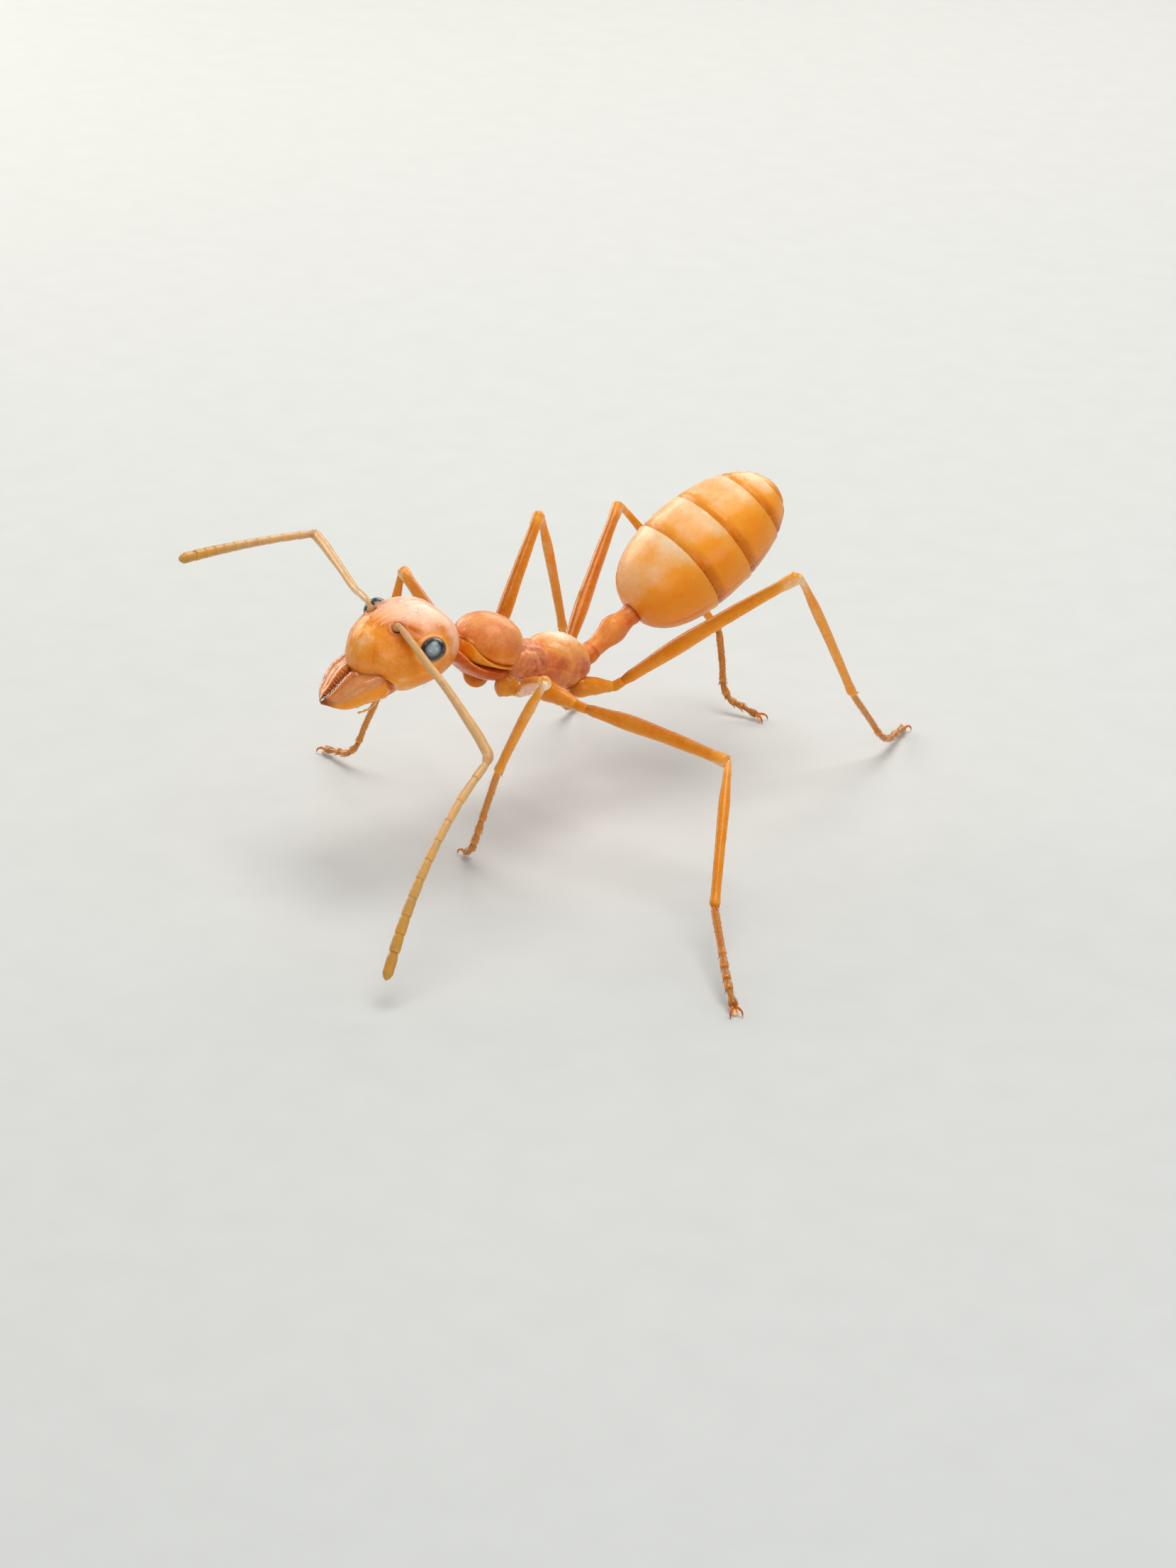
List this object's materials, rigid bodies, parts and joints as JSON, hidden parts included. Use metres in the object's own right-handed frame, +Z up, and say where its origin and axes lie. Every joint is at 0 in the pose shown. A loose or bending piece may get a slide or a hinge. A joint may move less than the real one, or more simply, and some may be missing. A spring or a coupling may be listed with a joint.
{
  "type": "asian weaver ant worker",
  "caption": "Life-size standing weaver ant worker with toothed jaws, elbowed feelers, narrow waist and raised gaster.",
  "frame": {"origin": "on the floor under the middle of the box around the ant", "axes": "+Z up, the ant faces -Y, its left side is +X"},
  "size_m": [0.0114, 0.0132, 0.0053],
  "materials": {
    "head": "satin translucent orange cuticle",
    "eye": "gloss black facets",
    "mandible": "gloss red-brown cuticle with dark toothed edge",
    "thorax": "satin red-brown wrinkled cuticle",
    "gaster": "satin translucent peach cuticle",
    "leg": "satin translucent amber cuticle",
    "antenna": "satin tan cuticle"
  },
  "bodies": {
    "root": {"coxa_front_left": "leg", "coxa_front_right": "leg", "coxa_hind_left": "leg", "coxa_hind_right": "leg", "coxa_middle_left": "leg", "coxa_middle_right": "leg", "eye_left": "eye", "eye_right": "eye", "femur_front_left": "leg", "femur_front_right": "leg", "femur_hind_left": "leg", "femur_hind_right": "leg", "femur_middle_left": "leg", "femur_middle_right": "leg", "flagellum_left": "antenna", "flagellum_right": "antenna", "gaster_1": "gaster", "gaster_2": "gaster", "gaster_3": "gaster", "gaster_4": "gaster", "gaster_5": "gaster", "head": "head", "labium": "mandible", "mandible_left": "mandible", "mandible_right": "mandible", "mesothorax": "thorax", "petiole": "thorax", "pronotum": "thorax", "propleuron": "thorax", "propodeum": "thorax", "scape_left": "antenna", "scape_right": "antenna", "tarsus_front_left": "leg", "tarsus_front_right": "leg", "tarsus_hind_left": "leg", "tarsus_hind_right": "leg", "tarsus_middle_left": "leg", "tarsus_middle_right": "leg", "tibia_front_left": "leg", "tibia_front_right": "leg", "tibia_hind_left": "leg", "tibia_hind_right": "leg", "tibia_middle_left": "leg", "tibia_middle_right": "leg"}
  },
  "joints": []
}
